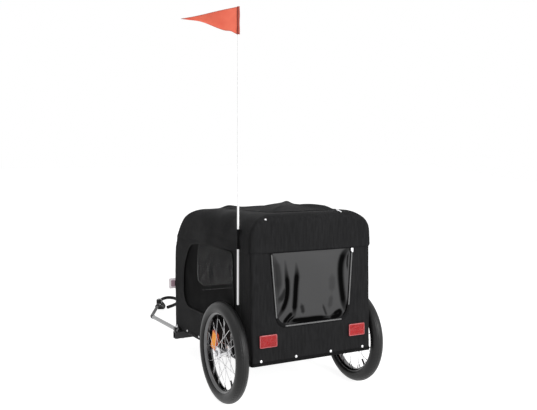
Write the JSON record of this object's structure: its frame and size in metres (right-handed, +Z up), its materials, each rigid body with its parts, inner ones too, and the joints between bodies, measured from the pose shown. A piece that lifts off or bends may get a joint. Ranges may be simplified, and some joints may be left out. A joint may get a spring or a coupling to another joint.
{
  "type": "dog bike trailer",
  "caption": "Dog bike trailer: black cloth cabin on a tube frame with mesh windows, spoked wheels, side tow arm and a safety flag on a pole.",
  "frame": {"origin": "on the floor under the middle of the whole trailer as it stands parked, flag and tow arm included", "axes": "+X to the trailer's left, +Y to its rear, +Z up"},
  "size_m": [0.8358, 1.6219, 1.5335],
  "materials": {
    "arm_metal": "silver-grey coated tube",
    "black_steel": "black coat",
    "cover_cloth": "woven coated cloth, matt black",
    "flag_cloth": "orange-red cloth",
    "floor_board": "black cloth floor",
    "frame_paint": "black powder coat",
    "mesh_cloth": "fine black netting",
    "pole_plastic": "white fibreglass",
    "red_reflector": "red prismatic",
    "rim_paint": "black rim",
    "tyre": "black rubber, shallow tread",
    "webbing": "black woven webbing",
    "wheel_steel": "zinc-plated steel",
    "white_reflector": "clear prismatic",
    "window_film": "glossy tinted film",
    "zinc_steel": "bright zinc"
  },
  "bodies": {
    "frame": {"wall_rear": "cover_cloth", "wall_front": "cover_cloth", "wall_left": "cover_cloth", "window_mesh_left": "mesh_cloth", "wall_right": "cover_cloth", "window_mesh_right": "mesh_cloth", "roof_top": "cover_cloth", "roof_side_left": "cover_cloth", "roof_side_right": "cover_cloth", "base_rail_left": "frame_paint", "base_rail_right": "frame_paint", "base_cross_front": "frame_paint", "base_cross_middle": "frame_paint", "base_cross_rear": "frame_paint", "floor_panel": "floor_board", "hoop_rear": "frame_paint", "hoop_side_left": "frame_paint", "hoop_side_right": "frame_paint", "roof_bow_front": "frame_paint", "roof_bow_rear": "frame_paint", "axle_left": "wheel_steel", "axle_right": "wheel_steel", "tow_bar": "frame_paint", "tow_bar_spacer_left": "frame_paint", "tow_bar_spacer_right": "frame_paint", "tow_arm": "arm_metal", "tow_arm_front": "black_steel", "tow_arm_clamp": "black_steel", "clevis": "black_steel", "hitch_pin": "zinc_steel", "strap_keeper": "black_steel", "flag_pole": "pole_plastic", "pole_sleeve": "cover_cloth", "flag": "flag_cloth", "reflector_rear_left": "red_reflector", "reflector_front_left": "white_reflector", "reflector_rear_right": "red_reflector", "reflector_front_right": "white_reflector", "safety_strap": "webbing"},
    "wheel_left": {"tyre_left": "tyre", "rim_left": "rim_paint", "spokes_left": "wheel_steel", "hub_left": "wheel_steel"},
    "wheel_right": {"tyre_right": "tyre", "rim_right": "rim_paint", "spokes_right": "wheel_steel", "hub_right": "wheel_steel"},
    "rear_door": {"rear_door_band": "cover_cloth", "rear_door_window": "window_film"},
    "front_door": {"front_door_band": "cover_cloth", "front_door_mesh": "mesh_cloth"},
    "roof_hatch": {"roof_hatch": "cover_cloth"},
    "coupler": {"coupler": "zinc_steel"}
  },
  "joints": [
    {"name": "wheel_left_spin", "type": "hinge", "parent": "frame", "child": "wheel_left", "pos_m": [0.23713, 0.55191, 0.2], "axis": [1, 0, 0], "continuous": true},
    {"name": "wheel_right_spin", "type": "hinge", "parent": "frame", "child": "wheel_right", "pos_m": [-0.38087, 0.55191, 0.2], "axis": [1, 0, 0], "continuous": true},
    {"name": "rear_door_swing", "type": "hinge", "parent": "frame", "child": "rear_door", "pos_m": [-0.07187, 0.68533, 0.62197], "axis": [1, 0, 0], "range_deg": [0, 110]},
    {"name": "front_door_swing", "type": "hinge", "parent": "frame", "child": "front_door", "pos_m": [-0.07187, -0.09243, 0.53205], "axis": [-1, 0, 0], "range_deg": [0, 110]},
    {"name": "roof_hatch_swing", "type": "hinge", "parent": "frame", "child": "roof_hatch", "pos_m": [-0.07187, 0.19052, 0.71239], "axis": [1, 0, 0], "range_deg": [0, 100]},
    {"name": "coupler_yaw", "type": "hinge", "parent": "frame", "child": "coupler", "pos_m": [0.05847, -0.70644, 0.02885], "axis": [0, -0.1148, 0.9934], "range_deg": [-45, 45]}
  ]
}
